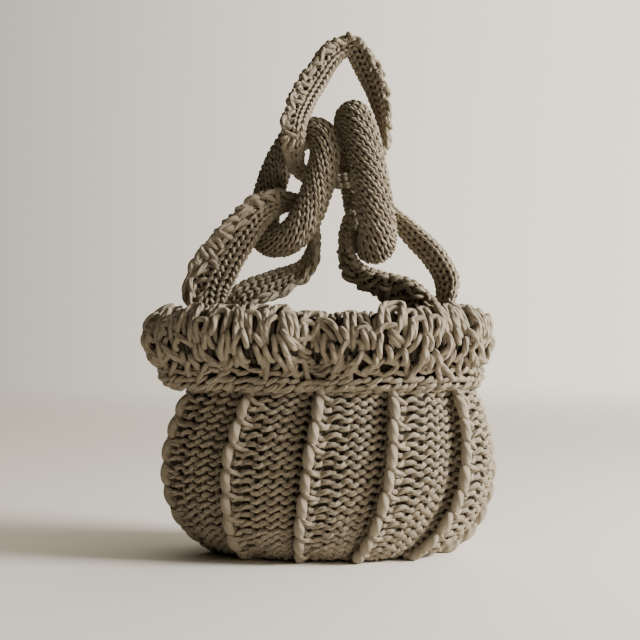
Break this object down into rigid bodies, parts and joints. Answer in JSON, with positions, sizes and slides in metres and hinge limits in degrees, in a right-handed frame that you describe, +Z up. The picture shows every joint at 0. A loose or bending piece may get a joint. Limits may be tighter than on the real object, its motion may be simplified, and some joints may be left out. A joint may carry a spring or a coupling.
{
  "type": "knitted handbag with a chain strap",
  "caption": "Hand-knitted pouch bag with ribbed sides, a rolled loopy collar and a carrying strap of large interlocked knitted links.",
  "frame": {"origin": "middle of the flat base that the bag stands on", "axes": "+Z up from the base through the mouth to the strap, +X to the bag's right as seen from the front, the front towards -Y"},
  "size_m": [0.2667, 0.1325, 0.3991],
  "materials": {
    "knit_body": "matt knitted yarn",
    "knit_collar": "matt loopy yarn",
    "knit_strap": "matt knitted yarn"
  },
  "bodies": {
    "root": {"bag_body": "knit_body", "rolled_collar": "knit_collar", "left_base_loop": "knit_strap", "left_tube_link": "knit_strap", "top_link": "knit_strap", "right_tube_link": "knit_strap", "right_base_loop": "knit_strap"}
  },
  "joints": []
}
